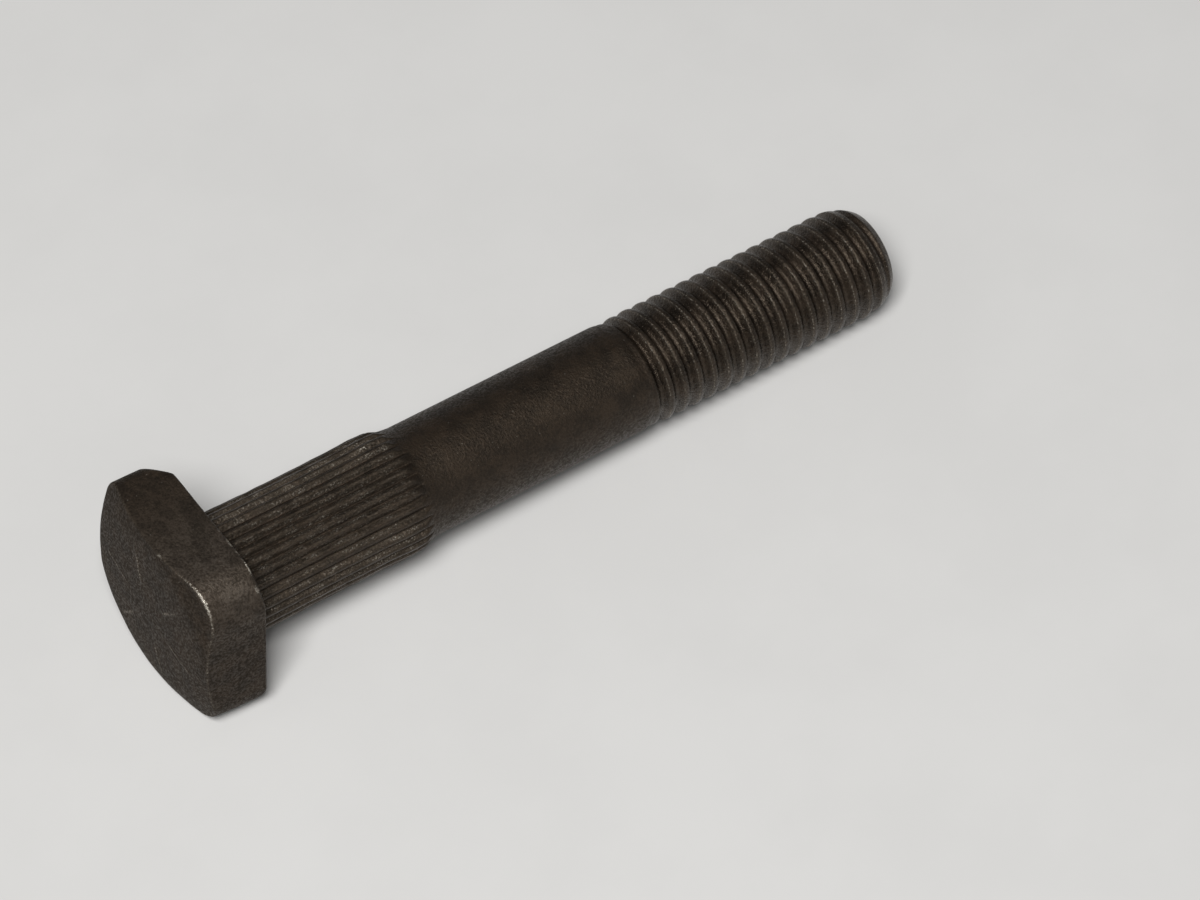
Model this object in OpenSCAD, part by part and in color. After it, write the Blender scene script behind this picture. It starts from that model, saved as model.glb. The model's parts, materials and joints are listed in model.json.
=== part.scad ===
// Headed bar stud: square forged head, serrated press-in neck, plain shank, M10 thread

/* [Thread and shank] */
// Thread major diameter
thread_d = 9.95; // [6:0.05:16]
// Length of full thread
thread_len = 22.8; // [10:0.1:40]
// Plain shank diameter
shank_d = 9.9; // [6:0.05:16]
// Length under the head
length = 67; // [40:0.5:120]
// Depth of the run-out groove where the thread starts
runout_depth = 0.18; // [0:0.01:0.5]
// Width of the run-out groove
runout_w = 1.2; // [0.4:0.1:3]

/* [Point] */
// Length of the tapered point
point_len = 2.55; // [1:0.05:6]
// Diameter at the end of the point
point_d = 7.95; // [4:0.05:12]

/* [Serrated neck] */
// Diameter over the ridges
neck_d = 10.95; // [7:0.05:20]
// Length of the ridges up to the lead-in
neck_len = 17.7; // [6:0.1:40]
// Length of the lead-in from the ridges to the shank
lead_len = 2; // [0.5:0.1:5]
// Part of the lead-in over which the ridges end
ridge_end = 0.9; // [0.2:0.1:3]
// Number of ridges
ridges = 32; // [16:1:48]
// Depth of the grooves between ridges
ridge_depth = 0.42; // [0.1:0.01:1]
// Part of the spacing kept as a land on each ridge
land_share = 0.42; // [0.1:0.01:0.8]
// Waist at the middle of the neck, on radius
waist = 0.06; // [0:0.01:0.3]

/* [Head] */
// Width across the flats
across_flats = 16.6; // [10:0.1:30]
// Height of the head at its crown
head_h = 6; // [3:0.1:15]
// Corner radius of the square
corner_r = 2.9; // [0.5:0.1:6]
// Diameter of the circle where the end chamfer starts
end_d = 15.9; // [8:0.1:30]
// Angle of the end chamfer
end_angle = 24; // [10:1:45]
// Rise of the end face at its centre
crown = 0.24; // [0.05:0.01:1]
// Radius left on the seat at the corners
seat_r = 10; // [5:0.1:20]
// How far down the corner the seat rounding runs
seat_drop = 0.9; // [0.4:0.1:4]
// Distance from the seat where the flats start to draw in
draft_from = 2.7; // [1:0.1:10]
// Draft of the flats from there to the end
draft_angle = 1.5; // [0.5:0.1:5]

/* [Hidden] */
$fn = 96;
flat = across_flats / 2;
corner_reach = (flat - corner_r) * sqrt(2) + corner_r;
crown_r = (end_d * end_d / 4 + crown * crown) / (2 * crown);
shoulder_z = crown - head_h;
seat_mid = (seat_r * seat_r - corner_reach * corner_reach - seat_drop * seat_drop) / (2 * seat_drop);
seat_ball = norm([seat_r, seat_mid]);
point_z = length - point_len;
thread_z = point_z - thread_len;
shank_end = thread_z - runout_w;
neck_r = neck_d / 2;
root_r = neck_r - ridge_depth;
step = 360 / ridges;
over_r = neck_r + 0.25;
rest_dip = atan((flat - thread_d / 2) / point_z);
rest_lift = point_z * sin(rest_dip) + thread_d / 2 * cos(rest_dip);
back_x = (crown_r - head_h) * cos(rest_dip) - crown_r;
tip_x = length * cos(rest_dip) + point_d / 2 * sin(rest_dip);
mid_x = (back_x + tip_x) / 2;

// Square with round corners
module head_square() {
    square([across_flats, across_flats - 2 * corner_r], center = true);
    square([across_flats - 2 * corner_r, across_flats], center = true);
    for (i = [-1, 1]) {
        for (j = [-1, 1]) {
            translate([i * (flat - corner_r), j * (flat - corner_r)]) circle(r = corner_r);
        }
    }
}

// Turned outline of the head: crowned end, end chamfer, corners rounded towards the seat
module head_turned() {
    far_r = corner_reach + 2;
    rise = tan(end_angle);
    intersection() {
        polygon([
            [0, 0],
            [far_r, 0],
            [far_r, shoulder_z + (far_r - end_d / 2) * rise],
            [0, shoulder_z - end_d / 2 * rise]
        ]);
        translate([0, crown_r - head_h]) circle(r = crown_r, $fn = 720);
        translate([0, seat_mid]) circle(r = seat_ball);
    }
}

// Wedges that draw the four flats in towards the end
module flat_drafts() {
    wide = 4 * flat;
    for (i = [0 : 3]) {
        rotate([0, 0, 90 * i])
        translate([flat, 0, -draft_from])
        rotate([0, draft_angle, 0])
        translate([0, -wide / 2, -wide])
        cube(wide);
    }
}

// Forged square head, seat at height zero
module head() {
    difference() {
        intersection() {
            translate([0, 0, -head_h - 1]) linear_extrude(height = head_h + 1) head_square();
            rotate_extrude() head_turned();
        }
        flat_drafts();
    }
}

// Star section of the ridges, tips left long
module ridge_star() {
    land = step * land_share / 2;
    tip = land * 0.55;
    foot = step / 2 - step * 0.07;
    polygon([
        for (i = [0 : ridges - 1]) each [
            over_r * [cos(i * step - tip), sin(i * step - tip)],
            over_r * [cos(i * step + tip), sin(i * step + tip)],
            root_r * [cos(i * step + foot), sin(i * step + foot)],
            root_r * [cos((i + 1) * step - foot), sin((i + 1) * step - foot)]
        ]
    ]);
}

// Serrated neck, waisted in the middle: its ridges end short, then a plain taper runs into the shank
module neck() {
    low = shank_d / 2 - 0.05;
    taper = (root_r - shank_d / 2) / (lead_len - ridge_end);
    low_z = neck_len + ridge_end + (root_r - low) / taper;
    intersection() {
        translate([0, 0, -1]) linear_extrude(height = low_z + 2) ridge_star();
        rotate_extrude() polygon([
            [0, -0.8],
            [neck_r + 0.02, -0.8],
            [neck_r + 0.02, 0.4],
            [neck_r - waist, neck_len * 0.5],
            [neck_r - waist * 0.8, neck_len * 0.74],
            [neck_r + 0.05, neck_len * 0.93],
            [neck_r, neck_len],
            [root_r, neck_len + ridge_end],
            [low, low_z],
            [0, low_z]
        ]);
    }
}

// Shank, run-out, thread at its major diameter and point, in one turned outline
module turned() {
    groove_r = shank_d / 2 - runout_depth;
    ease = runout_w * 0.3;
    rotate_extrude() polygon([
        [0, -2],
        [shank_d / 2, -2],
        [shank_d / 2, shank_end],
        [groove_r, shank_end + ease],
        [groove_r, thread_z - ease],
        [thread_d / 2, thread_z],
        [thread_d / 2, point_z],
        [point_d / 2, length],
        [0, length]
    ]);
}

// The whole stud at rest on its head edge and last thread crest
module bar_stud() {
    color([0.13, 0.12, 0.11])
    translate([-mid_x, 0, rest_lift])
    rotate([0, 90 + rest_dip, 0])
    union() {
        turned();
        neck();
        head();
    }
}

bar_stud();
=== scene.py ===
"""Bar stud: forged square head, serrated press-in neck, plain shank and rolled thread in black steel."""

import json
import math

import bmesh
import bpy
from bmesh.types import BMEdge, BMVert
from bpy.props import FloatProperty, FloatVectorProperty, IntProperty, PointerProperty
from bpy.types import Operator, Panel, PropertyGroup
from mathutils import Matrix, Vector, noise


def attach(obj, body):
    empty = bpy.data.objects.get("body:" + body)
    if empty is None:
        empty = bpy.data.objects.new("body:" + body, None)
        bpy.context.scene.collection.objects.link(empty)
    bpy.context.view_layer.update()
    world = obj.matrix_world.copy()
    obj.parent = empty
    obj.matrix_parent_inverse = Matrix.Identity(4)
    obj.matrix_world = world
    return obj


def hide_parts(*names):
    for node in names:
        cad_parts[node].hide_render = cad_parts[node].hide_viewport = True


bl_info = {
    "name": "Bar Stud",
    "version": (1, 0, 0),
    "blender": (4, 5, 0),
    "location": "View3D > Sidebar > Bar Stud",
    "description": "Builds a square-headed bar stud with a serrated neck, in black oxide steel",
    "category": "Add Mesh",
}

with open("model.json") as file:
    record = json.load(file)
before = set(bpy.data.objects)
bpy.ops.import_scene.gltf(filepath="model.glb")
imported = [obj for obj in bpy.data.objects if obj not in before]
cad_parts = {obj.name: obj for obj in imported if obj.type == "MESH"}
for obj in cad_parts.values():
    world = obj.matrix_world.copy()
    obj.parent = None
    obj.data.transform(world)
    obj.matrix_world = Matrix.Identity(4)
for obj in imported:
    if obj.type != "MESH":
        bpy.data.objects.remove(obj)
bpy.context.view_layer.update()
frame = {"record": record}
MOUNTS = {mount["name"]: mount for mount in frame["record"]["mounts"]}

MM = 0.001
TAU = 2 * math.pi
PIECE = "stud_steel"
NODE = "bar_stud"
BODY = "root"

# The stud's own line, from the middle of its seat towards the point
AXIS = Vector(MOUNTS["thread"]["axis"]).normalized()
SEAT = Vector(MOUNTS["head_seat"]["pos_m"]) * Vector((1, 0, 1))
THREAD_MID = (Vector(MOUNTS["thread"]["pos_m"]) - SEAT).dot(AXIS) / MM
THREAD_LEN = MOUNTS["thread"]["dims"]["length_mm"]
THREAD_R = MOUNTS["thread"]["dims"]["r_mm"]

# Values painted on every point: bare edges and painted glints, from dull to burnished, and a paler colour
# that is partly painted light
PAINTS = ("wear_and_glint", "sheen", "pale")

# Where the head's mesh points lie: across the seat, round its edge, down the side, round the end edge
SEAT_PARTS = (0.25, 0.5, 0.75, 0.9, 1)
LIP_PARTS = (0.25, 0.5, 0.75, 1)
SIDE_PARTS = (0.1, 0.2, 0.3, 0.4, 0.5, 0.6, 0.7, 0.8, 0.9, 1)
END_EDGE_PARTS = (0.2, 0.4, 0.6, 0.8, 1)
CHAMFER_PARTS = (0.3, 0.6, 0.8, 0.9, 1)
# Rings on the end face, and how many of that spacing would reach its middle
END_RINGS, RINGS_TO_MIDDLE = 24, 24.6
# Height of the end edge above the end's middle, roughly, and the least room between edge and crease
END_EDGE_UP = 1 * MM
CREASE_ROOM = 1.6

# Turns round the head, each with its spread, in degrees: where forging and handling left something, and
# where painted light and a painted highlight go
FULL_CORNER = (132, 24)
RUBBED_AND_LIT_SIDE = (204, 36)
TORN_LIP = (208, 20)
BRIGHT_CORNER = (221, 12)
HIGHLIGHT_SPOT = (223, 8)
NICK = (188, 1.5)
LOWER_EDGE = (268, 30)
# Middle and reach of the painted highlight spot down the side, in shares of the side
HIGHLIGHT_SPOT_PART, HIGHLIGHT_SPOT_REACH = 0.42, 0.26
# Torn part of the seat edge: coarse and fine noise with their seeds, where it counts, and its rise
COARSE_FLECKS = (19, 2.5)
FINE_FLECKS = (43, 7.5)
TORN_RANGE = (-0.2, 0.3)
TORN_RISE = 0.1 * MM
# How much rounder the end edge is at the bright corner
BRIGHT_ROUNDER = 0.5
# Lengths of the coarse and the fine forging lumps
LUMP_COARSE, LUMP_FINE = 2.6 * MM, 1.1 * MM

# Sheen of the head's surfaces
SEAT_SHEEN = -0.5
SIDE_SHEEN = -0.7
RUBBED_AND_LIT_SHEEN = 0.2
END_SHEEN = -0.8
# How pale the head's upper side is, partly a paler oxide and partly painted light where it faces the lamp,
# and how pale the painted highlight spot is
RUBBED_AND_LIT_PALE = 0.42
HIGHLIGHT_SPOT_PALE = 0.7
# Wear of the seat edge and its torn part; a little wear on the painted highlight spot; and on the radial
# marks, partly wear and partly a painted glint on their raised tops
SEAT_EDGE_WEAR = 0.14
TORN_WEAR = 1.3
HIGHLIGHT_SPOT_WEAR = 0.1
MARK_WEAR_AND_GLINT = 0.34
# Wear of the end edge, and what its corners, bright corner, lower edge and nick add; at the bright corner
# it is partly wear and partly a painted highlight
END_EDGE_WEAR = 0.16
CORNER_WEAR = 0.08
BRIGHT_CORNER_WEAR_AND_GLINT = 0.6
LOWER_WEAR = 0.12
NICK_WEAR = 0.8

# The plain radial marks: their number, both ends, the first one's turn, and their middle on the end face
MARKS = 6
MARK_INNER, MARK_OUTER = 3.2 * MM, 6.5 * MM
MARK_FIRST = math.radians(44)
MARK_X, MARK_Y = 0.5 * MM, 0.15 * MM

# Where the mesh points lie across one ridge of the neck, in shares of the ridge spacing
RIDGE_SHARES = (-0.5, -0.44, -0.38, -0.29, -0.21, -0.14, 0, 0.14, 0.21, 0.29, 0.38, 0.44)
# Start, middle and end of a ridge's flank, in the same shares, and its softness
RIDGE_LAND, RIDGE_FLANK, RIDGE_FOOT = 0.14, 0.29, 0.44
FLANK_SOFT = 0.1
# Unevenness of a ridge: noise from ridge to ridge, across it and along it, and its height
RIDGE_STEP, RIDGE_ACROSS, RIDGE_ALONG = 3.7, 4, 1.1 * MM
RIDGE_UNEVEN = 0.04 * MM
# How far the ridges' ends are staggered, and the noise for it with its seed
STAGGER = 0.3 * MM
STAGGER_NOISE = (5.3, 9.1)
# Swell of the neck along its length: share of the length, and share of the waist taken off the radius
NECK_SWELL = ((0.0, -0.3), (0.5, 1.0), (0.74, 0.8), (0.93, -0.8), (1.0, 0.0))
# Wear of the ridges, partly wear and partly painted glints: on the lands, added on the flanks, and its
# unevenness
LAND_WEAR_AND_GLINT = 0.12
FLANK_WEAR_AND_GLINT = 0.12
UNEVEN_WEAR_AND_GLINT = 0.2
# Where the flank's wear and glints and the groove's lack of them set in, and where all of it ends along the
# neck
FLANK_NEAR = (0.08, 0.18)
GROOVE = (0.38, 0.48)
NECK_FADE = (-0.6 * MM, 0.5 * MM)
NECK_SHEEN = 0.35
NECK_PALE = 0.2
# Heights of the first rings of the neck
FOOT_HEIGHTS = (0.15 * MM, 0.4 * MM, 0.8 * MM, 1.4 * MM)

# Where the mesh points lie across half a pitch of the thread, from root to crest, in shares of the pitch
THREAD_SHARES = (0, 0.06, 0.11, 0.16, 0.25, 0.33, 0.36, 0.38, 0.40, 0.44, 0.5)
THREAD_SIDES = 96
# From the run-out back to the last ring of the shank, and to the start of the thread's mesh
SHANK_BACK, THREAD_BACK = 0.6 * MM, 0.3 * MM
# Room in pitches that the helix needs below that start
HELIX_ROOM = 1.2
# Where the thread's depth sets in: before its start, and in pitches after it
FULL_BEFORE, FULL_AFTER = 0.8 * MM, 0.4
# Depths below the crest where its two light lips start and end, partly worn and partly painted glints, and
# where all of it ends
LIP_START = (0.015 * MM, 0.05 * MM)
LIP_END = (0.09 * MM, 0.16 * MM)
CREST_END = (0.12 * MM, 0.3 * MM)
# Paint on the thread; the lips' light lines are partly wear and partly painted glints
CREST_WEAR = 0.03
LIP_WEAR_AND_GLINT = 0.34
THREAD_SHEEN = 0.9
THREAD_PALE = 0.07
# Form of the point: its even taper and its bullet-shaped part, then rings on its end with radius and cup
POINT_TAPER, POINT_BULLET = 0.45, 0.55
POINT_RINGS = ((0.975, -0.05), (0.93, 0), (0.8, 0.15), (0.6, 0.6), (0.3, 0.9))
# Distances at which points merge, between turns of the thread and after a cut, and a cut's tolerance
TURN_WELD, CUT_WELD, CUT_TOLERANCE = 0.01 * MM, 0.004 * MM, 1e-7

# Scales of the patterns in the materials, per metre
STEEL_SCALE = 620
WEAR_SCALE = 6800
SPECK_SCALE = 2200
FLOOR_SCALE = 40
# How a pattern is taken to a strength: from low and high, to low and high
BREAKUP = (0.42, 0.7, 0.1, 2.6)
WORN_AND_GLINT_EVEN = (0.4, 0.8, 0, 0.8)
BARE = (0.35, 1, 0, 1)
DOTS = (0.06, 0.14, 1, 0)
RARE_DOTS = (0.7, 0.8, 0, 0.3)
WORN_AND_GLINT_DOTS = (0.35, 0.5, 0, 2.4)
PATCHES = (0.15, 0.36, 0, 1)
PALE_MOTTLE = (0.3, 0.7, 0.4, 1.5)
PALE_GRAIN = (0.36, 0.64, 0.25, 1.75)
SHEEN = (-1, 1, 1.5, 0.5)
FLOOR_MOTTLE = (0.35, 0.65, 0, 1)
# Low and high of the grain that go from roughest to smoothest
DULL_GRAIN = (0.36, 0.64)
# Strength of the wear pattern where an edge is worn through or painted brightest, and bare steel's
# roughness
EVEN_WEAR_AND_GLINT = 1.2
BARE_ROUGHNESS = 0.3
# Height of the steel's bumps, and the share of the mottling in them
BUMP_HEIGHT = 0.1 * MM
MOTTLE_BUMP = 0.5
# The floor: half its side in metres, how much darker its mottling is, roughness and gloss
FLOOR_HALF = 3
FLOOR_DARKER = 0.97
FLOOR_ROUGHNESS = 0.9
FLOOR_GLOSS = 0.2

# The photograph's frame, in pixels
PHOTO_W = 1200
PHOTO_H = 900


def size(label, about, value):
    """Length property with its default in millimetres."""
    return FloatProperty(name=label, description=about, default=value * MM, precision=5, unit="LENGTH")


def share(label, about, value):
    """Factor property from 0 to 1."""
    return FloatProperty(name=label, description=about, default=value, min=0, max=1, subtype="FACTOR")


def angle(label, about, degrees):
    """Angle property with its default in degrees."""
    return FloatProperty(name=label, description=about, default=math.radians(degrees), subtype="ANGLE")


def colour(label, about, value):
    """Colour property, linear."""
    return FloatVectorProperty(name=label, description=about, default=value, size=3, subtype="COLOR")


class BarStudForm(PropertyGroup):
    """Sizes of the stud."""

    length: size("Length", "From the seat to the end of the point", 67)
    shank_d: size("Shank diameter", "Plain shank between neck and thread", 9.9)
    thread_d: size("Thread diameter", "Over the crests", 2 * THREAD_R)
    thread_start: size("Thread start", "From the seat to the first crest", THREAD_MID - THREAD_LEN / 2)
    thread_end: size("Thread end", "From the seat to the start of the point", THREAD_MID + THREAD_LEN / 2)
    pitch: size("Pitch", "From crest to crest", 1.5)
    thread_depth: size("Thread depth", "From crest to root", 0.68)
    crest_w: size("Crest width", "Flat left on the crest", 0.36)
    crest_soft: size("Crest rounding", "Softness of the crest's lips", 0.1)
    root_soft: size("Root rounding", "Softness of the root", 0.16)
    flank_angle: angle("Flank angle", "Between a flank and the plane across the thread", 30)
    runout_depth: size("Run-out depth", "Dip of the shank where the thread starts", 0.11)
    runout_w: size("Run-out width", "Length of that dip", 1.4)
    point_d: size("Point diameter", "At the end of the point", 7.95)
    point_cup: size("Point cup", "Hollow in the end of the point", 0.2)
    neck_d: size("Neck diameter", "Over the ridges", 10.95)
    neck_len: size("Neck length", "Ridges up to the lead-in", 17.7)
    lead_len: size("Lead-in", "From the ridges to the shank", 2)
    ridge_end: size("Ridge end", "Part of the lead-in over which the ridges end", 0.9)
    ridges: IntProperty(name="Ridges", description="Ridges round the neck", default=32, min=8)
    ridge_depth: size("Ridge depth", "Depth of the grooves between ridges", 0.38)
    waist: size("Waist", "Waist of the neck on radius", 0.06)
    across_flats: size("Across flats", "Width of the square head", 16.6)
    head_h: size("Head height", "From the seat to the crown", 6)
    corners: FloatVectorProperty(
        name="Corner radii",
        description="Radius of each corner: far bottom, far top, near top, near bottom",
        default=(2.9 * MM, 1.7 * MM, 3.7 * MM, 3.4 * MM), size=4, precision=5, unit="LENGTH",
    )
    end_d: size("End circle", "Circle where the end chamfer starts", 15.85)
    end_angle: angle("End chamfer", "Angle of the end chamfer", 23)
    end_soft: size("End softness", "Softness of the crease between the end face and its chamfer", 0.2)
    head_lean: size("Head lean", "How far the end face lies off the axis, towards the far side", 0.35)
    end_shift: size("End shift", "How far the end circle lies off the end face's middle", 0.2)
    end_full: size("Full corner", "How much wider the end circle is at the far top corner", 0.25)
    crown: size("Crown", "Rise of the end face at its middle", 0.24)
    seat_r: size("Seat radius", "Radius left flat on the seat at the corners", 10)
    seat_ball: size("Seat rounding", "Radius of the ball that rounds the corners at the seat", 12.34)
    draft_from: size("Draft start", "From the seat to where the flats draw in", 2.7)
    draft_angle: angle("Draft", "Draft of the flats towards the end", 1.5)
    edge_r: size("Seat edge rounding", "Rounding of the head's edge at the seat", 0.24)
    end_edge_r: size("End edge rounding", "Rounding of the head's edge at the end", 0.17)
    lump: size("Forging lumps", "Unevenness that forging leaves on the head", 0.035)
    mark_h: size("Mark height", "Rise of the radial strength marks on the end face", 0.045)
    mark_w: size("Mark width", "Width of a radial strength mark", 0.24)


class BarStudFinish(PropertyGroup):
    """Colours and finish of the steel."""

    oxide: colour("Oxide", "Black oxide at its darkest", (0.0036, 0.0027, 0.0021))
    brown: colour("Brown oxide", "Browner patches of the oxide", (0.0178, 0.0121, 0.0080))
    # Also the colour of painted glints on the thread's lips, the marks, the neck's ridges and the bright
    # corner
    rubbed_and_lit: colour("Rubbed oxide", "Oxide that handling has thinned", (0.085, 0.072, 0.056))
    # Also the colour of the brightest painted glints and highlights
    worn_and_glinting: colour("Worn steel", "Bare steel on worn edges", (0.40, 0.37, 0.32))
    # Also lays painted light on the head's upper side and the painted highlight spot on its near top corner
    scale: colour("Forging scale", "Paler oxide where it is softly rubbed", (0.054, 0.045, 0.037))
    tint: colour("Tint", "Tint of the light that the oxide reflects", (1.0, 0.80, 0.61))
    smooth: share("Smoothest", "Roughness of the smoothest oxide", 0.34)
    rough: share("Roughest", "Roughness of the roughest oxide", 0.70)
    index: FloatProperty(name="Index", description="Refractive index of the oxide", default=1.47, min=1)


class BarStudStage(PropertyGroup):
    """Floor, lamps and camera."""

    floor: colour("Floor", "Pale floor", (0.69, 0.683, 0.668))
    view_azimuth: angle("View azimuth", "Turn of the camera from the stud's side towards its head", 34.863)
    view_elevation: angle("View elevation", "Height of the camera above the floor", 52.275)
    view_roll: angle("View roll", "Roll of the camera", 0.15)
    view_distance: size("View distance", "From the camera to the aim point, along the view", 449.6)
    focal_px: FloatProperty(name="Focal length", description="In pixels of the photograph", default=5348)
    aim: size("Aim point", "Point on the stud's line, from the seat", 24.75)
    aim_px: FloatVectorProperty(
        name="Aim pixel",
        description="Where the aim point lies in the frame",
        default=(462.67, 456.44), size=2,
    )
    key_azimuth: angle("Key azimuth", "Turn of the key lamp from the stud's side towards its head", 44)
    key_elevation: angle("Key elevation", "Height of the key lamp above the floor", 59)
    key_distance: size("Key distance", "From the lamp to the aim point", 1100)
    key_size: size("Key size", "Side of the key lamp", 380)
    key_power: FloatProperty(name="Key power", description="Of the key lamp", default=13.3, unit="POWER")
    ambient: share("Ambient", "Strength of the plain light from all round", 0.08)


def ease(low, high, value):
    """Smooth step from 0 at low to 1 at high."""
    part = min(max((value - low) / (high - low), 0), 1)
    return part * part * (3 - 2 * part)


def mixed(a, b, part):
    """Value between a and b."""
    return a + (b - a) * part


def spaced(low, high, count):
    """Evenly spaced values from low to high."""
    return [mixed(low, high, step / (count - 1)) for step in range(count)]


def soft_min(a, b, soft):
    """Lesser of two values, rounded where they cross."""
    return (a + b - math.hypot(a - b, soft)) / 2


def soft_max(a, b, soft):
    """Greater of two values, rounded where they cross."""
    return (a + b + math.hypot(a - b, soft)) / 2


def bell(place, turn):
    """1 at a place round the head, falling to 0 on both sides of it."""
    middle, spread = place
    off = (turn - math.radians(middle) + math.pi) % TAU - math.pi
    return math.exp(-(off / math.radians(spread)) ** 2)


def uneven_value(place, often, seed):
    """Noise along a line."""
    return noise.noise(Vector((place * often, seed, 0)))


def curve_point(start, bend, end, part):
    """Point on the quadratic curve from start to end that leans towards bend."""
    return mixed(mixed(start, bend, part), mixed(bend, end, part), part)


def square_reach(form, turn, inset):
    """Distance from the axis to the rounded square's outline, drawn in by inset."""
    quarter = int(turn % TAU // (TAU / 4)) % 4
    half = form.across_flats / 2 - inset
    radius = form.corners[quarter] - inset
    straight = half - radius
    c = abs(math.cos(turn % (TAU / 4)))
    s = abs(math.sin(turn % (TAU / 4)))
    if straight * max(c, s) >= half * min(c, s):
        return half / max(c, s)
    return straight * (c + s) + math.sqrt(radius ** 2 - (straight * (c - s)) ** 2)


def side_reach(form, turn, depth):
    """Distance from the axis to the head's side at a depth below the seat."""
    inset = max(0, depth - form.draft_from) * math.tan(form.draft_angle)
    return square_reach(form, turn, inset)


def end_depth(form, turn, radius):
    """Depth of the end face below the seat: a shallow crown that meets the end chamfer softly."""
    circle = form.end_d / 2 + form.end_full * bell(FULL_CORNER, turn)
    off = math.hypot(radius * math.cos(turn), radius * math.sin(turn) - form.end_shift)
    crowned = form.head_h - form.crown * (off / circle) ** 2
    chamfer = form.head_h - form.crown - (off - circle) * math.tan(form.end_angle)
    return soft_min(crowned, chamfer, form.end_soft)


def seat_depth(form, radius):
    """Depth of the seat, rounded off at the corners by a ball."""
    if radius <= form.seat_r:
        return 0
    middle = math.sqrt(form.seat_ball ** 2 - form.seat_r ** 2)
    return middle - math.sqrt(form.seat_ball ** 2 - radius ** 2)


def corner_share(turn):
    """0 in the middle of a flat and 1 at a corner."""
    return math.sin(2 * turn) ** 4


def strength_mark(form, turn, radius):
    """Share of the full height of the plain radial marks at a point of the end face."""
    spread = TAU / MARKS
    struck = Vector((radius * math.cos(turn) - MARK_X, radius * math.sin(turn) - MARK_Y))
    off = (math.atan2(struck.y, struck.x) - MARK_FIRST + spread / 2) % spread - spread / 2
    soft = form.mark_w / 2
    inner = ease(MARK_INNER, MARK_INNER + soft, struck.length)
    outer = 1 - ease(MARK_OUTER - soft, MARK_OUTER, struck.length)
    return inner * outer * (1 - ease(soft / 2, form.mark_w, abs(struck.length * math.sin(off))))


def head_profile(form, turn, foot):
    """Points of the head at one turn, from the neck's foot to the end face: radius, depth and paint."""
    points = []
    edge = form.edge_r
    reach = side_reach(form, turn, 0)
    for part in SEAT_PARTS:
        radius = mixed(foot, reach - edge, part)
        points.append((radius, seat_depth(form, radius), (0, SEAT_SHEEN, 0)))

    lip = seat_depth(form, reach)
    # Upper side of the head: paler and smoother, partly a lighter oxide and partly painted light where it
    # faces the lamp
    rubbed_and_lit = bell(RUBBED_AND_LIT_SIDE, turn)
    sheen = mixed(SIDE_SHEEN, RUBBED_AND_LIT_SHEEN, rubbed_and_lit)
    flecks = uneven_value(turn, *COARSE_FLECKS) + uneven_value(turn, *FINE_FLECKS) / 2
    torn = bell(TORN_LIP, turn) * ease(*TORN_RANGE, flecks)
    start = Vector((reach - edge, seat_depth(form, reach - edge)))
    for part in LIP_PARTS:
        point = curve_point(start, Vector((reach, lip)), Vector((reach, lip + edge)), part)
        ridge = math.sin(math.pi * part)
        paint = ((SEAT_EDGE_WEAR + TORN_WEAR * torn) * ridge, sheen, RUBBED_AND_LIT_PALE * rubbed_and_lit * part)
        points.append((point.x + TORN_RISE * torn * ridge, point.y, paint))

    low = end_depth(form, turn, side_reach(form, turn, form.head_h - END_EDGE_UP))
    # Bright corner of the end edge: rounder, and lighter partly from wear and partly as a painted highlight
    bright = bell(BRIGHT_CORNER, turn)
    edge = form.end_edge_r * (1 + BRIGHT_ROUNDER * bright)
    for part in SIDE_PARTS:
        depth = mixed(lip + form.edge_r, low - edge, part)
        # Painted highlight spot on the near top corner: paler and slightly worn where the rounded corner
        # faces the lamp
        highlight_spot = bell(HIGHLIGHT_SPOT, turn) * math.exp(-((part - HIGHLIGHT_SPOT_PART) / HIGHLIGHT_SPOT_REACH) ** 2)
        paint = (HIGHLIGHT_SPOT_WEAR * highlight_spot, sheen, RUBBED_AND_LIT_PALE * rubbed_and_lit + HIGHLIGHT_SPOT_PALE * highlight_spot)
        points.append((side_reach(form, turn, depth), depth, paint))

    reach = side_reach(form, turn, low)
    wear_and_glint = END_EDGE_WEAR + CORNER_WEAR * corner_share(turn) + BRIGHT_CORNER_WEAR_AND_GLINT * bright
    wear_and_glint += LOWER_WEAR * bell(LOWER_EDGE, turn)
    wear_and_glint += NICK_WEAR * bell(NICK, turn)
    inside = Vector((reach - edge, end_depth(form, turn, reach - edge)))
    start = Vector((reach, low - edge))
    for part in END_EDGE_PARTS:
        point = curve_point(start, Vector((reach, low)), inside, part)
        paint = (wear_and_glint * math.sin(math.pi * part), sheen, RUBBED_AND_LIT_PALE * rubbed_and_lit * (1 - part))
        points.append((point.x, point.y, paint))

    crease = min(form.end_d / 2, reach - CREASE_ROOM * edge)
    for part in CHAMFER_PARTS:
        radius = mixed(reach - edge, crease, part)
        points.append((radius, end_depth(form, turn, radius), (0, END_SHEEN, 0)))
    for step in range(1, END_RINGS + 1):
        radius = crease * (1 - step / RINGS_TO_MIDDLE)
        # Radial marks: lighter partly from wear and partly as a painted glint on their raised tops
        mark = strength_mark(form, turn, radius)
        depth = end_depth(form, turn, radius) + mark * form.mark_h
        points.append((radius, depth, (MARK_WEAR_AND_GLINT * mark, END_SHEEN, 0)))
    return points


def swell(form, height):
    """Radius that the neck's swell takes off or adds along its length."""
    part = min(max(height / form.neck_len, 0), 1)
    for (low, a), (high, b) in zip(NECK_SWELL, NECK_SWELL[1:]):
        if part <= high:
            return -form.waist * mixed(a, b, ease(low, high, part))
    return 0


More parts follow.
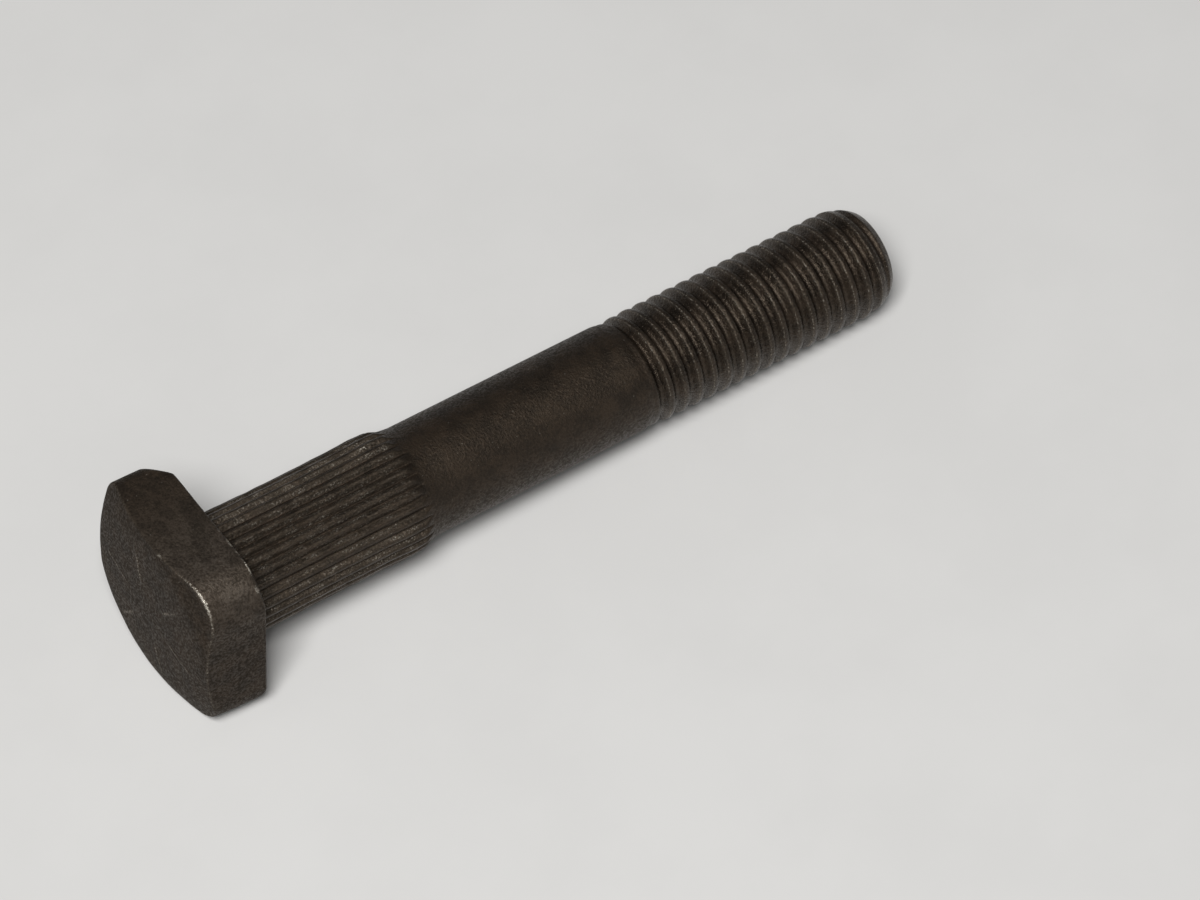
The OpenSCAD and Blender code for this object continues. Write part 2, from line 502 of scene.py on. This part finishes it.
def lead_radius(form, ridge, height):
    """Radius of the lead-in: steep over the ridge's end, then a gentle taper to the shank."""
    start = form.neck_len + STAGGER * uneven_value(ridge, *STAGGER_NOISE)
    root = form.neck_d / 2 - form.ridge_depth
    steep = form.neck_d / 2 - (height - start) * form.ridge_depth / form.ridge_end
    left = (form.neck_len + form.lead_len - height) / (form.lead_len - form.ridge_end)
    return max(steep, form.shank_d / 2 + (root - form.shank_d / 2) * left)


def ridge_point(form, spoke, height):
    """Radius and paint of the neck at one spoke and height."""
    ridge, place = divmod(spoke, len(RIDGE_SHARES))
    off = abs(RIDGE_SHARES[place])
    uneven = noise.noise(Vector((ridge * RIDGE_STEP, off * RIDGE_ACROSS, height / RIDGE_ALONG)))
    top = form.neck_d / 2 + swell(form, height) + RIDGE_UNEVEN * uneven
    flank = (off - RIDGE_LAND) / (RIDGE_FOOT - RIDGE_LAND)
    radius = top - form.ridge_depth * soft_min(soft_max(flank, 0, FLANK_SOFT), 1, FLANK_SOFT)
    radius = max(min(radius, lead_radius(form, ridge, height)), form.shank_d / 2)
    # Light specks on the ridges: partly wear and partly painted glints
    flanked = 1 - ease(*FLANK_NEAR, abs(off - RIDGE_FLANK))
    worn_and_glinting = (LAND_WEAR_AND_GLINT + FLANK_WEAR_AND_GLINT * flanked + UNEVEN_WEAR_AND_GLINT * uneven) * (1 - ease(*GROOVE, off))
    fading = 1 - ease(*NECK_FADE, height - form.neck_len)
    return radius, (worn_and_glinting * fading, NECK_SHEEN * fading, NECK_PALE * worn_and_glinting * fading)


def only(geom, kind):
    """The items of one kind."""
    return [item for item in geom if isinstance(item, kind)]


def everything(bm):
    """All points, edges and faces."""
    return bm.verts[:] + bm.edges[:] + bm.faces[:]


def rim_edges(bm):
    """Edges with a face on one side only."""
    return [edge for edge in bm.edges if len(edge.link_faces) == 1]


def grow(bm, edges):
    """Extrude a closed ring of edges and return its new points and edges."""
    grown = bmesh.ops.extrude_edge_only(bm, edges=edges)["geom"]
    points = only(grown, BMVert)
    fresh = set(points)
    ring = [edge for edge in only(grown, BMEdge) if fresh.issuperset(edge.verts)]
    return points, ring


def close_ring(bm, edges, middle):
    """Close a ring of edges with a fan to one middle point."""
    points, _ = grow(bm, edges)
    bmesh.ops.pointmerge(bm, verts=points, merge_co=middle)


def cut_across(bm, height, **dropped):
    """Cut the mesh across the axis at a height and drop one side."""
    bmesh.ops.bisect_plane(
        bm, geom=everything(bm), dist=CUT_TOLERANCE, plane_co=(0, 0, height), plane_no=(0, 0, 1), **dropped,
    )


def lumped(form, point):
    """Point moved a little along the axis and outwards, as forging leaves it."""
    soft = noise.noise(point / LUMP_COARSE) + noise.noise(point / LUMP_FINE) / 2
    out = Vector((point.x, point.y, 0)).normalized()
    return point + (out + Vector((0, 0, -1))) * soft * form.lump / 2


def spoke_turn(form, spoke):
    """Turn of a spoke round the axis."""
    ridge, place = divmod(spoke, len(RIDGE_SHARES))
    return (ridge + RIDGE_SHARES[place]) * TAU / form.ridges


def on_spoke(turn, radius, height):
    """Point at a turn, radius and height."""
    return Vector((radius * math.cos(turn), radius * math.sin(turn), height))


def brush(vert, layers, paint):
    """Set a point's painted values."""
    for layer, value in zip(layers, paint):
        vert[layer] = value


def ring_heights(form):
    """Heights of the rings of the neck and shank: close where the form changes, wide on the shank."""
    neck_end = form.neck_len + form.lead_len + 0.4 * MM
    shank_end = form.thread_start - form.runout_w - SHANK_BACK
    along_neck = spaced(1.8 * MM, form.neck_len - 0.8 * MM, 42)
    along_lead = spaced(form.neck_len - 0.5 * MM, neck_end, 14)
    along_shank = spaced(neck_end + 1 * MM, shank_end, 9)
    return [*FOOT_HEIGHTS, *along_neck, *along_lead, *along_shank]


def make_neck_and_head(bm, form, layers):
    """Head, neck and shank as rings grown from the neck's foot; returns the last ring of the shank."""
    spoke_layer = bm.verts.layers.int["spoke"]
    count = form.ridges * len(RIDGE_SHARES)
    turns = [spoke_turn(form, spoke) for spoke in range(count)]

    def shape_neck(points, height):
        """Put a ring of the neck in place."""
        for vert in points:
            spoke = vert[spoke_layer]
            radius, paint = ridge_point(form, spoke, height)
            brush(vert, layers, paint)
            vert.co = on_spoke(turns[spoke], radius, height)

    circle = bmesh.ops.create_circle(bm, segments=count, radius=form.neck_d / 2)["verts"]
    ends = set(circle)
    foot = [edge for edge in bm.edges if ends.issuperset(edge.verts)]
    for vert in circle:
        vert[spoke_layer] = round(math.atan2(vert.co.y, vert.co.x) / TAU * count) % count
    shape_neck(circle, 0)
    ring = foot
    for height in ring_heights(form):
        points, ring = grow(bm, ring)
        shape_neck(points, height)
    shank_ring = ring

    feet = [ridge_point(form, spoke, 0)[0] for spoke in range(count)]
    profiles = [head_profile(form, turns[spoke], feet[spoke]) for spoke in range(count)]
    ring = foot
    for step in range(len(profiles[0])):
        points, ring = grow(bm, ring)
        for vert in points:
            spoke = vert[spoke_layer]
            radius, depth, paint = profiles[spoke][step]
            brush(vert, layers, paint)
            lean = Vector((0, form.head_lean * depth / form.head_h, 0))
            vert.co = lumped(form, on_spoke(turns[spoke], radius, -depth) + lean)
    close_ring(bm, ring, lumped(form, Vector((0, form.head_lean, -form.head_h))))
    return shank_ring


def crest_drop(form, part):
    """Depth below the crest across one pitch, from root to root: straight flanks, rounded ends."""
    off = abs(part - 0.5) * form.pitch
    flank = (off - form.crest_w / 2) / math.tan(form.flank_angle)
    return soft_min(soft_max(flank, 0, form.crest_soft), form.thread_depth, form.root_soft)


def thread_outline(form, height):
    """Radius over the crests: shank, dip of the run-out, thread, and the bullet-shaped point."""
    crest = form.thread_d / 2
    shank = form.shank_d / 2
    dipped = shank - form.runout_depth
    dip_end = form.thread_start - form.runout_w / 3
    if height <= dip_end:
        return shank - form.runout_depth * ease(form.thread_start - form.runout_w, dip_end, height)
    if height <= form.thread_end:
        return mixed(dipped, crest, ease(dip_end, form.thread_start + form.pitch, height))
    part = (height - form.thread_end) / (form.length - form.thread_end)
    return crest - (crest - form.point_d / 2) * (POINT_TAPER * part + POINT_BULLET * part ** 3)


def one_turn(bm, form, start):
    """One turn of the thread, swept along its helix from the starting height."""
    crest = form.thread_d / 2
    shares = [*THREAD_SHARES, *(1 - part for part in THREAD_SHARES[-2::-1])]
    places = [(crest - crest_drop(form, part), 0, start + part * form.pitch) for part in shares]
    points = [bm.verts.new(place) for place in places]
    lines = [bm.edges.new(pair) for pair in zip(points, points[1:])]
    bmesh.ops.spin(
        bm, geom=points + lines, cent=(0, 0, 0), axis=(0, 0, 1), dvec=(0, 0, form.pitch / THREAD_SIDES),
        angle=TAU, steps=THREAD_SIDES,
    )


def shape_thread(form, vert, layers):
    """Move and paint one point of the thread: its depth sets in at the run-out and ends on the point."""
    crest = form.thread_d / 2
    radius = math.hypot(vert.co.x, vert.co.y)
    height = vert.co.z
    full = ease(form.thread_start - FULL_BEFORE, form.thread_start + FULL_AFTER * form.pitch, height)
    outline = thread_outline(form, height)
    drop = (crest - radius) * full
    point_room = max(0, crest - outline) if height > form.thread_end else 0
    fresh = outline - max(0, drop - point_room)
    # The crest's two lips: light lines, partly worn crests and partly painted glints
    lip = ease(*LIP_START, drop) * (1 - ease(*LIP_END, drop))
    wear_and_glint = (CREST_WEAR + LIP_WEAR_AND_GLINT * lip) * (1 - ease(*CREST_END, drop))
    brush(vert, layers, (full * wear_and_glint, THREAD_SHEEN * full, THREAD_PALE * full))
    vert.co.x *= fresh / radius
    vert.co.y *= fresh / radius


def make_thread(bm, form, layers):
    """Rolled thread with its run-out and point, open where it meets the shank."""
    shank_end = form.thread_start - form.runout_w - THREAD_BACK
    start = shank_end - HELIX_ROOM * form.pitch
    one_turn(bm, form, start)
    turn = everything(bm)
    for step in range(1, math.ceil((form.length - start) / form.pitch) + 1):
        copied = bmesh.ops.duplicate(bm, geom=turn)["geom"]
        bmesh.ops.translate(bm, verts=only(copied, BMVert), vec=(0, 0, step * form.pitch))
    bmesh.ops.remove_doubles(bm, verts=bm.verts, dist=TURN_WELD)
    for vert in bm.verts:
        shape_thread(form, vert, layers)

    cut_across(bm, shank_end, clear_inner=True)
    cut_across(bm, form.length, clear_outer=True)
    bmesh.ops.remove_doubles(bm, verts=bm.verts, dist=CUT_WELD)
    middle = (shank_end + form.length) / 2
    tip = [edge for edge in rim_edges(bm) if edge.verts[0].co.z > middle]
    for scale, depth in POINT_RINGS:
        points, tip = grow(bm, tip)
        for vert in points:
            flat = Vector((vert.co.x, vert.co.y, 0)).normalized() * form.point_d / 2 * scale
            vert.co = flat + Vector((0, 0, form.length - depth * form.point_cup))
            brush(vert, layers, (0, 0, 0))
    close_ring(bm, tip, Vector((0, 0, form.length - form.point_cup)))


def make_mesh(form):
    """The whole stud as one closed mesh, at rest in the shared frame."""
    bm = bmesh.new()
    bm.verts.layers.int.new("spoke")
    for name in PAINTS:
        bm.verts.layers.float.new(name)
    layers = [bm.verts.layers.float[name] for name in PAINTS]
    make_thread(bm, form, layers)
    thread_rim = rim_edges(bm)
    shank_rim = make_neck_and_head(bm, form, layers)
    bmesh.ops.bridge_loops(bm, edges=thread_rim + shank_rim)
    bm.verts.layers.int.remove(bm.verts.layers.int["spoke"])
    bmesh.ops.recalc_face_normals(bm, faces=bm.faces)
    for face in bm.faces:
        face.smooth = True
    loose = [edge for edge in bm.edges if len(edge.link_faces) != 2]
    if loose:
        raise RuntimeError(f"the stud isn't closed: {len(loose)} open edges")
    lean = math.atan2(AXIS.x, AXIS.z)
    bm.transform(Matrix.Translation(SEAT) @ Matrix.Rotation(lean, 4, "Y"))
    mesh = bpy.data.meshes.new(PIECE)
    bm.to_mesh(mesh)
    bm.free()
    return mesh


def add(tree, kind, values, **settings):
    """New node with its settings, and values or links on its inputs."""
    node = tree.nodes.new(kind)
    for name, value in settings.items():
        setattr(node, name, value)
    for socket, value in values.items():
        if isinstance(value, bpy.types.NodeSocket):
            tree.links.new(value, node.inputs[socket])
        else:
            node.inputs[socket].default_value = value
    return node


def remap(tree, value, low, high, to_low, to_high):
    """Value taken smoothly from one range to another."""
    values = {"Value": value, "From Min": low, "From Max": high, "To Min": to_low, "To Max": to_high}
    return add(tree, "ShaderNodeMapRange", values, interpolation_type="SMOOTHSTEP").outputs["Result"]


def combine(tree, operation, a, b):
    """Result of a sum on two values."""
    return add(tree, "ShaderNodeMath", {0: a, 1: b}, operation=operation).outputs["Value"]


def mix_colour(tree, factor, a, b):
    """Colour between a and b."""
    node = add(tree, "ShaderNodeMix", {0: factor, 6: a, 7: b}, data_type="RGBA")
    return node.outputs[2]


def mix_value(tree, factor, a, b):
    """Value between a and b."""
    node = add(tree, "ShaderNodeMix", {0: factor, 2: a, 3: b}, data_type="FLOAT")
    return node.outputs[0]


def noise_value(tree, vector, scale, detail, roughness):
    """Fractal noise on the given coordinates."""
    values = {"Vector": vector, "Scale": scale, "Detail": detail, "Roughness": roughness}
    return add(tree, "ShaderNodeTexNoise", values).outputs["Fac"]


def grain_group():
    """Node group with the coarse mottling and fine grain of a surface."""
    tree = bpy.data.node_groups.new("surface_grain", "ShaderNodeTree")
    tree.interface.new_socket("Vector", in_out="INPUT", socket_type="NodeSocketVector")
    tree.interface.new_socket("Scale", in_out="INPUT", socket_type="NodeSocketFloat")
    tree.interface.new_socket("Mottle", in_out="OUTPUT", socket_type="NodeSocketFloat")
    tree.interface.new_socket("Grain", in_out="OUTPUT", socket_type="NodeSocketFloat")
    given = tree.nodes.new("NodeGroupInput").outputs
    coarse = noise_value(tree, given["Vector"], given["Scale"], 5, 0.6)
    finer = combine(tree, "MULTIPLY", given["Scale"], 7)
    fine = noise_value(tree, given["Vector"], finer, 4, 0.65)
    add(tree, "NodeGroupOutput", {"Mottle": coarse, "Grain": fine})
    return tree


def shared_group():
    """The grain group, made once."""
    return bpy.data.node_groups.get("surface_grain") or grain_group()


def new_material(name):
    """Empty node material; returns it, its tree and its shader."""
    material = bpy.data.materials.new(name)
    material.use_nodes = True
    tree = material.node_tree
    return material, tree, tree.nodes["Principled BSDF"]


def surface(tree, group, scale):
    """Object coordinates, and the mottling and grain of a surface at a scale."""
    vector = tree.nodes.new("ShaderNodeTexCoord").outputs["Object"]
    node = add(tree, "ShaderNodeGroup", {}, node_tree=group)
    tree.links.new(vector, node.inputs["Vector"])
    node.inputs["Scale"].default_value = scale
    return vector, node.outputs["Mottle"], node.outputs["Grain"]


def opaque(value):
    """Colour with full alpha."""
    return (*value, 1)


def steel_material(finish, group):
    """Black oxide with browner patches, fine grain, rubbed ridges, edges worn to bare steel, and painted
    glints and highlights laid on with the same masks.
    """
    material, tree, shader = new_material("black_oxide_steel")
    vector, mottle, grain = surface(tree, group, STEEL_SCALE)
    wear_and_glint, sheen, pale = (
        add(tree, "ShaderNodeAttribute", {}, attribute_name=name).outputs["Fac"] for name in PAINTS
    )

    # Wear and painted glints, broken up by noise, more even where an edge is worn through or painted
    # brightest
    breakup = remap(tree, noise_value(tree, vector, WEAR_SCALE, 3, 0.7), *BREAKUP)
    breakup = mix_value(tree, remap(tree, wear_and_glint, *WORN_AND_GLINT_EVEN), breakup, EVEN_WEAR_AND_GLINT)
    thinned_and_glinting = combine(tree, "MULTIPLY", wear_and_glint, breakup)
    bare_and_glinting = remap(tree, thinned_and_glinting, *BARE)

    # Small bright specks, rare all over and many where the wear mask is high, there partly wear and partly
    # painted glints
    cells = add(tree, "ShaderNodeTexVoronoi", {"Vector": vector, "Scale": SPECK_SCALE})
    dots = remap(tree, cells.outputs["Distance"], *DOTS)
    rare = remap(tree, cells.outputs["Color"], *RARE_DOTS)
    often = combine(tree, "MULTIPLY", wear_and_glint, remap(tree, cells.outputs["Color"], *WORN_AND_GLINT_DOTS))
    specks = combine(tree, "MULTIPLY", dots, combine(tree, "MAXIMUM", rare, often))
    light = combine(tree, "MAXIMUM", bare_and_glinting, specks)

    # Colours, from the oxide up to bare steel; the pale mix carries painted light on the head's upper side
    # and a painted highlight spot, and the rubbed and bare mixes carry painted glints as well as wear
    patches = remap(tree, combine(tree, "MULTIPLY", mottle, grain), *PATCHES)
    pale = combine(tree, "MULTIPLY", pale, remap(tree, mottle, *PALE_MOTTLE))
    pale = combine(tree, "MULTIPLY", pale, remap(tree, grain, *PALE_GRAIN))
    oxide = mix_colour(tree, patches, opaque(finish.oxide), opaque(finish.brown))
    oxide = mix_colour(tree, pale, oxide, opaque(finish.scale))
    oxide = mix_colour(tree, thinned_and_glinting, oxide, opaque(finish.rubbed_and_lit))
    tree.links.new(mix_colour(tree, light, oxide, opaque(finish.worn_and_glinting)), shader.inputs["Base Color"])

    # Gloss and relief
    dull = remap(tree, grain, *DULL_GRAIN, finish.rough, finish.smooth)
    dull = combine(tree, "MULTIPLY", dull, remap(tree, sheen, *SHEEN))
    tree.links.new(mix_value(tree, thinned_and_glinting, dull, BARE_ROUGHNESS), shader.inputs["Roughness"])
    tree.links.new(light, shader.inputs["Metallic"])
    shader.inputs["IOR"].default_value = finish.index
    shader.inputs["Specular Tint"].default_value = opaque(finish.tint)
    height = combine(tree, "ADD", combine(tree, "MULTIPLY", mottle, MOTTLE_BUMP), grain)
    bump = add(tree, "ShaderNodeBump", {"Height": height, "Strength": 1, "Distance": BUMP_HEIGHT})
    tree.links.new(bump.outputs["Normal"], shader.inputs["Normal"])
    return material


def floor_material(stage, group):
    """Pale matt floor with a faint mottling."""
    material, tree, shader = new_material("pale_floor")
    _, mottle, _ = surface(tree, group, FLOOR_SCALE)
    paler = opaque(stage.floor)
    darker = opaque(value * FLOOR_DARKER for value in stage.floor)
    mottled = mix_colour(tree, remap(tree, mottle, *FLOOR_MOTTLE), paler, darker)
    tree.links.new(mottled, shader.inputs["Base Color"])
    shader.inputs["Roughness"].default_value = FLOOR_ROUGHNESS
    shader.inputs["Specular IOR Level"].default_value = FLOOR_GLOSS
    return material


def link_object(name, data):
    """New object at the origin, in the scene."""
    made = bpy.data.objects.new(name, data)
    bpy.context.scene.collection.objects.link(made)
    return made


def look_from(azimuth, elevation):
    """Direction from a camera or lamp to the stud."""
    flat = math.cos(elevation)
    return Vector((flat * math.sin(azimuth), flat * math.cos(azimuth), -math.sin(elevation)))


class BAR_STUD_OT_stud(Operator):
    """Build the stud as one closed mesh with its steel finish."""

    bl_idname = "bar_stud.stud"
    bl_label = "Build Stud"

    def execute(self, context):
        scene = context.scene
        stud = link_object(PIECE, make_mesh(scene.bar_stud_form))
        stud.data.materials.append(steel_material(scene.bar_stud_finish, shared_group()))
        shading = stud.modifiers.new("edge_shading", "WEIGHTED_NORMAL")
        shading.mode = "FACE_AREA"
        shading.weight = 50
        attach(stud, BODY)
        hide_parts(NODE)
        return {"FINISHED"}


class BAR_STUD_OT_stage(Operator):
    """Build the floor, the lamp, the plain light and the camera."""

    bl_idname = "bar_stud.stage"
    bl_label = "Build Stage"

    def execute(self, context):
        scene = context.scene
        stage = scene.bar_stud_stage
        target = SEAT + AXIS * stage.aim
        self.make_floor(stage)
        self.make_light(scene, stage, target)
        self.make_camera(scene, stage, target)
        scene.view_settings.view_transform = "Standard"
        return {"FINISHED"}

    def make_floor(self, stage):
        """Wide floor under the stud."""
        bm = bmesh.new()
        bmesh.ops.create_grid(bm, x_segments=1, y_segments=1, size=FLOOR_HALF)
        mesh = bpy.data.meshes.new("floor")
        bm.to_mesh(mesh)
        bm.free()
        mesh.materials.append(floor_material(stage, shared_group()))
        link_object("floor", mesh)

    def make_light(self, scene, stage, target):
        """Soft key lamp near the camera's side, and plain light from all round."""
        lamp = bpy.data.lights.new("key", "AREA")
        lamp.size = stage.key_size
        lamp.energy = stage.key_power
        key = link_object("key", lamp)
        toward = look_from(stage.key_azimuth, stage.key_elevation)
        key.location = target - toward * stage.key_distance
        key.rotation_euler = toward.to_track_quat("-Z", "Y").to_euler()
        world = bpy.data.worlds.new("plain_light")
        world.use_nodes = True
        background = world.node_tree.nodes["Background"]
        background.inputs["Color"].default_value = (1, 1, 1, 1)
        background.inputs["Strength"].default_value = stage.ambient
        scene.world = world

    def make_camera(self, scene, stage, target):
        """Camera at the photograph's viewing angle and framing."""
        forward = look_from(stage.view_azimuth, stage.view_elevation)
        level = Vector((math.cos(stage.view_azimuth), -math.sin(stage.view_azimuth), 0))
        above = level.cross(forward)
        right = level * math.cos(stage.view_roll) + above * math.sin(stage.view_roll)
        up = above * math.cos(stage.view_roll) - level * math.sin(stage.view_roll)
        across = (stage.aim_px[0] - PHOTO_W / 2) / stage.focal_px
        down = (stage.aim_px[1] - PHOTO_H / 2) / stage.focal_px
        lens = bpy.data.cameras.new("camera")
        lens.sensor_fit = "HORIZONTAL"
        lens.lens = lens.sensor_width * stage.focal_px / PHOTO_W
        lens.clip_start = 10 * MM
        camera = link_object("camera", lens)
        place = Matrix((right, up, -forward)).transposed().to_4x4()
        place.translation = target - (forward + right * across - up * down) * stage.view_distance
        camera.matrix_world = place
        scene.camera = camera


class BAR_STUD_PT_panel(Panel):
    """Sizes, finish and stage of the bar stud."""

    bl_idname = "BAR_STUD_PT_panel"
    bl_label = "Bar Stud"
    bl_space_type = "VIEW_3D"
    bl_region_type = "UI"
    bl_category = "Bar Stud"

    def draw(self, context):
        scene = context.scene
        for operator in (BAR_STUD_OT_stud, BAR_STUD_OT_stage):
            self.layout.operator(operator.bl_idname)
        for group in (scene.bar_stud_form, scene.bar_stud_finish, scene.bar_stud_stage):
            box = self.layout.box()
            for name in group.bl_rna.properties.keys():
                if name not in ("rna_type", "name"):
                    box.prop(group, name)


GROUPS = {"bar_stud_form": BarStudForm, "bar_stud_finish": BarStudFinish, "bar_stud_stage": BarStudStage}
CLASSES = (*GROUPS.values(), BAR_STUD_OT_stud, BAR_STUD_OT_stage, BAR_STUD_PT_panel)


def register():
    """Register the classes and put the sizes and colours on the scene."""
    for item in CLASSES:
        bpy.utils.register_class(item)
    for name, group in GROUPS.items():
        setattr(bpy.types.Scene, name, PointerProperty(type=group))


def unregister():
    """Take the sizes and colours off the scene and unregister the classes."""
    for name in GROUPS:
        delattr(bpy.types.Scene, name)
    for item in reversed(CLASSES):
        bpy.utils.unregister_class(item)


def main():
    """Register the classes, and build the stud and its stage."""
    register()
    bpy.ops.bar_stud.stud()
    bpy.ops.bar_stud.stage()


if __name__ == "__main__":
    main()
